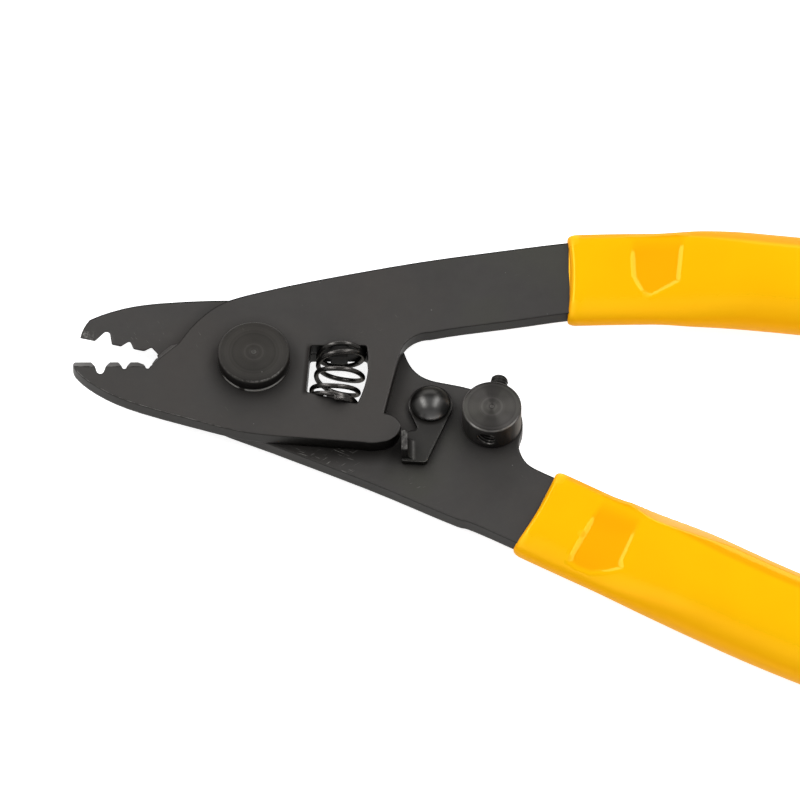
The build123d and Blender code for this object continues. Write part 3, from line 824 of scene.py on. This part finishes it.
def grip(name, body, cad, start, heading, legs, z_mid, **form):
    """A dipped grip: thin over the flat lever, a thumb hollow, then a full rounded handle."""
    at, total = route(start, heading, legs)
    verts = []
    marks = {"hollow_shade": [], "dull": [], "brim_shade": []}
    stations = grip_stations(total)
    for s in stations:
        ring, read = grip_ring(s, total, **form)
        for along, across, height in ring:
            x, y, way = at(float(along))
            verts.append((x - math.sin(way) * across, y + math.cos(way) * across, z_mid + height))
        for key, values in read.items():
            marks[key].extend(values)
    o = made(name, verts, capped(len(stations), GRIP_POINTS), plastisol)
    for key, values in marks.items():
        o.data.attributes.new(key, "FLOAT", "POINT").data.foreach_set("value", np.array(values, np.float32))
    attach(o, body)
    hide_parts(cad)


def bend(radius, turn_deg):
    """A curved leg of a route, from its radius and how far it turns."""
    return radius * math.radians(abs(turn_deg)), turn_deg


FRONT_LEGS = (bend(375, -2.9), bend(115, -5.0), bend(330, -10.8))
REAR_LEGS = ((34.0, 0.0), bend(211, 15.6))
FRONT_POCKET = [
    (9.7, 12.0), (9.65, 1.6), (9.8, -0.7), (11.0, -3.1), (11.9, -3.9), (12.8, -4.15),
    (17.3, -1.6), (18.4, 12.0),
]
REAR_POCKET = [
    (8.3, 12.0), (8.4, 2.0), (8.5, -4.6), (8.8, -6.1), (10.6, -6.5), (12.8, -6.3), (15.2, -5.0), (17.2, -3.4),
    (16.4, -2.2), (15.8, 3.0), (15.7, 12.0),
]
grip(
    "front_grip_skin",
    "front_half",
    "front_grip",
    start=(47.5, 14.65),
    heading=2.2,
    legs=FRONT_LEGS,
    z_mid=6.5,
    widths=(15.0, 15.7),
    grows=(12.5, 20.5),
    slant=0.038,
    pocket=FRONT_POCKET,
    tops=(2.2, 3.4),
    fold=0.6,
    breaks=((12.0, -3.8, 0.5),),
)
grip(
    "rear_grip_skin",
    "rear_half",
    "rear_grip",
    start=(42.5, -24.8),
    heading=-28.1,
    legs=REAR_LEGS,
    z_mid=4.0,
    widths=(15.2, 15.4),
    grows=(12.5, 22.0),
    slant=-0.02,
    pocket=REAR_POCKET,
    tops=(0.8, 1.8),
    fold=2.3,
    breaks=((8.5, -0.9, 0.5), (8.6, -5.4, 0.4)),
)


# ------------------------------------------------------------------- spring
def tube(points, radius, sides):
    """Vertices and faces of a round wire along points, closed at both ends."""
    p = np.array(points)
    t = np.gradient(p, axis=0)
    t /= np.linalg.norm(t, axis=1)[:, None]
    ref = np.cross(t[0], (0.0, 0.0, 1.0))
    verts = []
    for i in range(len(p)):
        ref = ref - t[i] * np.dot(ref, t[i])
        ref /= np.linalg.norm(ref)
        out = np.cross(t[i], ref)
        for j in range(sides):
            a = 2 * math.pi * j / sides
            verts.append(tuple(p[i] + radius * (math.cos(a) * ref + math.sin(a) * out)))
    return verts, capped(len(p), sides)


def flow(xs, ys, x):
    """Smooth curve through knots."""
    slopes = np.gradient(np.array(ys, float), np.array(xs, float))
    k = int(np.clip(np.searchsorted(xs, x, side="right") - 1, 0, len(xs) - 2))
    h = xs[k + 1] - xs[k]
    f = (x - xs[k]) / h
    a = (1 + 2 * f) * (1 - f) ** 2 * ys[k] + f * f * (3 - 2 * f) * ys[k + 1]
    return a + h * (f * (1 - f) ** 2 * slopes[k] - f * f * (1 - f) * slopes[k + 1])


# the wire's place along the spring at each quarter turn, from the upper seat down
COIL_Y = (2.35, 2.6, 2.2, 2.45, 2.1, 1.1, 0.72, 0.2, -1.55, -1.9, -1.1, -2.3, -4.2, -4.95, -3.8, -4.5, -6.2,
          -6.35, -5.1, -5.8, -6.85, -7.05)
COIL_T = [-0.25 + 0.25 * k for k in range(len(COIL_Y))]
COIL_MID_T, COIL_MID_X = (-0.25, 1.0, 2.0, 3.0, 4.0, 5.0), (13.25, 13.2, 13.1, 12.25, 12.0, 12.1)
COIL_MID_Z = 5.25
COIL_R_X, COIL_R_Z = 3.42, 3.3
WIRE_R = 0.375
WIRE_STEPS, WIRE_SIDES = 360, 20
coil = []
for i in range(WIRE_STEPS + 1):
    t = COIL_T[0] + (COIL_T[-1] - COIL_T[0]) * i / WIRE_STEPS
    ang = math.pi / 2 + 2 * math.pi * t
    mid = float(np.interp(t, COIL_MID_T, COIL_MID_X))
    x, z = mid + COIL_R_X * math.cos(ang), COIL_MID_Z + COIL_R_Z * math.sin(ang)
    coil.append((x, flow(COIL_T, COIL_Y, t), z))
spring = made("return_spring_wire", *tube(coil, WIRE_R, WIRE_SIDES), coil_steel[0])
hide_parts("return_spring")
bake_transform(spring)

# --------------------------------------------------------------- stop screw
NEAR, FAR = -3.3, 6.61
SCREW_R, THREAD_DEPTH = 1.35, 0.26
FAR_TIP_R, FAR_TAPER = 0.96, 0.95
NEAR_TIP_R, NEAR_TAPER = 1.2, 0.8
SCREW_SIDES = 48
SOCKET_R, SOCKET_DEPTH = 0.65, 1.4


def thread_radius(a, turn):
    """Radius of the screw at a place along it and a part of a turn round it."""
    crest = abs(2 * ((a / PITCH + turn) % 1.0) - 1)
    r = SCREW_R - THREAD_DEPTH * (1 - crest)
    return min(r, FAR_TIP_R + (FAR - a) * FAR_TAPER, NEAR_TIP_R + (a - NEAR) * NEAR_TAPER)


def screw_ring(a, radius_at):
    """A ring of points round the screw's axis."""
    ring = []
    for j in range(SCREW_SIDES):
        turn = j / SCREW_SIDES
        p = 2 * math.pi * j / SCREW_SIDES
        r = radius_at(a, turn)
        out = SIDE * (r * math.cos(p)) + Vector((0, 0, r * math.sin(p)))
        ring.append(tuple(STOP + WAY * float(a) + out))
    return ring


def hexagon_radius(a, turn):
    """Radius of the hexagon socket."""
    sixth = math.pi / 3
    return SOCKET_R / math.cos(((2 * math.pi * turn + sixth / 2) % sixth) - sixth / 2)


lengths = np.arange(NEAR, FAR + 1e-6, PITCH / 10)
verts = [q for a in lengths for q in screw_ring(a, thread_radius)]
last = (len(lengths) - 1) * SCREW_SIDES
faces = [(f[0], f[3], f[2], f[1]) for f in sleeve(len(lengths), SCREW_SIDES)]
# hexagon socket at the near end, plain tip at the far end
mouth, floor_of_socket = len(verts), len(verts) + SCREW_SIDES
verts += screw_ring(NEAR, hexagon_radius) + screw_ring(NEAR + SOCKET_DEPTH, hexagon_radius)
for j in range(SCREW_SIDES):
    k = (j + 1) % SCREW_SIDES
    faces.append((j, k, mouth + k, mouth + j))
    faces.append((mouth + j, mouth + k, floor_of_socket + k, floor_of_socket + j))
faces.append(tuple(floor_of_socket + j for j in range(SCREW_SIDES)))
faces.append(tuple(last + j for j in range(SCREW_SIDES)))
screw = made("stop_screw_thread", verts, faces, small_steel[0], smooth=False)
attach(screw, "set_screw")
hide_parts("stop_screw")

# ------------------------------------------------------------ floor, lights
FLOOR_R, FLOOR_RIM, FLOOR_SIDES = 6.0, 0.6, 32
FLOOR_Z = -0.1 * MM
FLOOR_GLOW = 0.8
SKY = 0.3


def pale_floor():
    """Matt white that also looks white to the camera and in reflections."""
    m, tree, bsdf = shader("pale_floor")
    bsdf.inputs["Roughness"].default_value = 0.9
    bsdf.inputs["Specular IOR Level"].default_value = 0.0
    v = place(tree, (MM, MM, MM))
    pale = mix(tree, span(tree, noise(tree, v, 40.0, 3.0), 0.3, 0.7), (0.8, 0.8, 0.8), (0.82, 0.82, 0.82))
    wire(tree, pale, bsdf.inputs["Base Color"])
    path = tree.nodes.new("ShaderNodeLightPath")
    seen = maths(tree, "MAXIMUM", path.outputs["Is Camera Ray"], path.outputs["Is Glossy Ray"])
    seen = maths(tree, "MAXIMUM", seen, path.outputs["Is Transmission Ray"])
    glow = tree.nodes.new("ShaderNodeEmission")
    glow.inputs["Color"].default_value = (1, 1, 1, 1)
    wire(tree, maths(tree, "MULTIPLY", seen, FLOOR_GLOW), glow.inputs["Strength"])
    added = tree.nodes.new("ShaderNodeAddShader")
    wire(tree, bsdf.outputs[0], added.inputs[0])
    wire(tree, glow.outputs[0], added.inputs[1])
    out = [n for n in tree.nodes if n.type == "OUTPUT_MATERIAL"][0]
    wire(tree, added.outputs[0], out.inputs[0])
    return m


mesh = bpy.data.meshes.new("floor")
step = 2 * math.pi / FLOOR_SIDES
rim = [(FLOOR_R * math.cos(k * step), FLOOR_R * math.sin(k * step)) for k in range(FLOOR_SIDES)]
verts = [(x, y, FLOOR_Z) for x, y in rim] + [(x, y, FLOOR_RIM) for x, y in rim]
faces = [tuple(range(FLOOR_SIDES))]
for k in range(FLOOR_SIDES):
    after = (k + 1) % FLOOR_SIDES
    faces.append((k, k + FLOOR_SIDES, after + FLOOR_SIDES, after))
mesh.from_pydata(verts, [], faces)
mesh.materials.append(pale_floor())
floor = bpy.data.objects.new("floor", mesh)
bpy.context.scene.collection.objects.link(floor)

world = bpy.data.worlds.new("studio")
bpy.context.scene.world = world
world.use_nodes = True
sky = world.node_tree.nodes["Background"]
sky.inputs["Color"].default_value = (1, 1, 1, 1)
sky.inputs["Strength"].default_value = SKY

LAMP_AIM = Vector((0.02, -0.01, 0))
LAMP_AWAY = 1.1
LAMP_TALL = Vector((0, 0.857, -0.515))


def strip(name, way, width, length, power):
    """A strip light that looks at the tool from one side."""
    data = bpy.data.lights.new(name, "AREA")
    data.shape = "RECTANGLE"
    data.size, data.size_y = width, length
    data.energy = power
    lamp = bpy.data.objects.new(name, data)
    bpy.context.scene.collection.objects.link(lamp)
    back = Vector(way).normalized()
    tall = (LAMP_TALL - back * LAMP_TALL.dot(back)).normalized()
    turn = Matrix((tall.cross(back), tall, back)).transposed().to_4x4()
    lamp.matrix_world = Matrix.Translation(LAMP_AIM + back * LAMP_AWAY) @ turn
    return lamp


strip("left_strip", (-0.62, 0.29, 0.725), 0.32, 1.65, 7.4)
strip("right_strip", (0.5, 0.27, 0.83), 0.3, 1.6, 6.2)
strip("back_strip", (-0.05, 0.93, 0.36), 0.9, 0.55, 5.0)
fill = strip("front_fill", (0.55, -0.75, 0.5), 1.0, 0.6, 3.0)
fill.visible_glossy = False

bpy.context.scene.view_settings.view_transform = "Standard"
